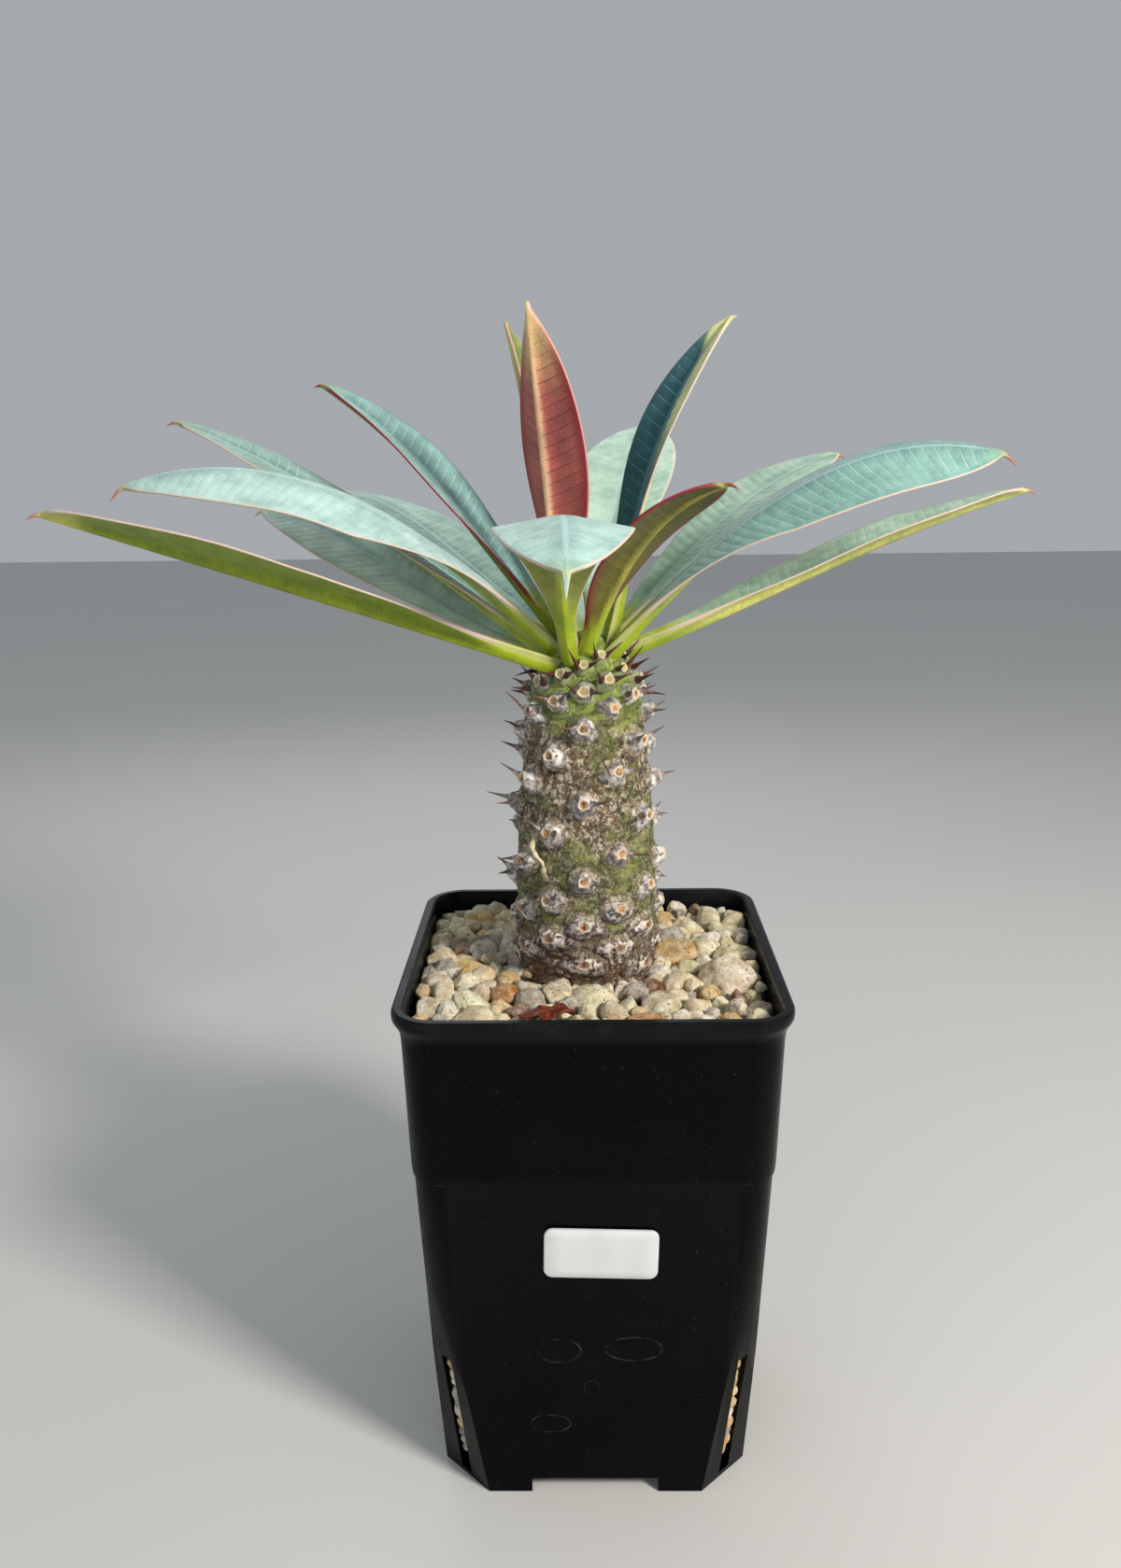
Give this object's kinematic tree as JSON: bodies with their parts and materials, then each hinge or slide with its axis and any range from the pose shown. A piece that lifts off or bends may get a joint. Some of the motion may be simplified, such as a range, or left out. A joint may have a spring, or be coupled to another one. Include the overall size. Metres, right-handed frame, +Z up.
{
  "type": "potted euphorbia pachypodioides",
  "caption": "Succulent with a thick spiny tubercled stem and a crown of long blue-green leaves, in gravel in a tall square black nursery pot.",
  "frame": {"origin": "bottom centre of the whole plant and pot's box, on the surface that the pot stands on; the pot's own axis is 3 mm to +X and 7 mm to -Y of it", "axes": "+Z up along the stem, -Y towards the pot's front with the label, +X to the right of the front"},
  "size_m": [0.23, 0.2136, 0.2775],
  "materials": {
    "pot_plastic": "satin black moulded plastic with faint dust and water marks",
    "gravel": "rough porous cream, tan and grey grit",
    "stem_bark": "matt green skin under silvery cork with purple-brown cracks",
    "leaf": "waxy pale blue-green, veined, with a yellow-green stalk and a pink edge",
    "young_leaf": "satin wine red underside with a cream midrib",
    "dry_leaf": "dry red-brown, slightly glossy",
    "label_plastic": "white, smooth"
  },
  "bodies": {
    "root": {"pot": "pot_plastic", "gravel": "gravel", "stem": "stem_bark", "leaf_01": "leaf", "leaf_02": "leaf", "leaf_03": "leaf", "leaf_04": "leaf", "leaf_05": "leaf", "leaf_06": "leaf", "leaf_07": "leaf", "leaf_08": "leaf", "leaf_09": "young_leaf", "leaf_10": "young_leaf", "leaf_11": "leaf", "leaf_12": "leaf", "leaf_13": "leaf", "leaf_14": "leaf", "leaf_15": "leaf", "leaf_16": "leaf", "fallen_leaf": "dry_leaf", "label": "label_plastic"}
  },
  "joints": []
}
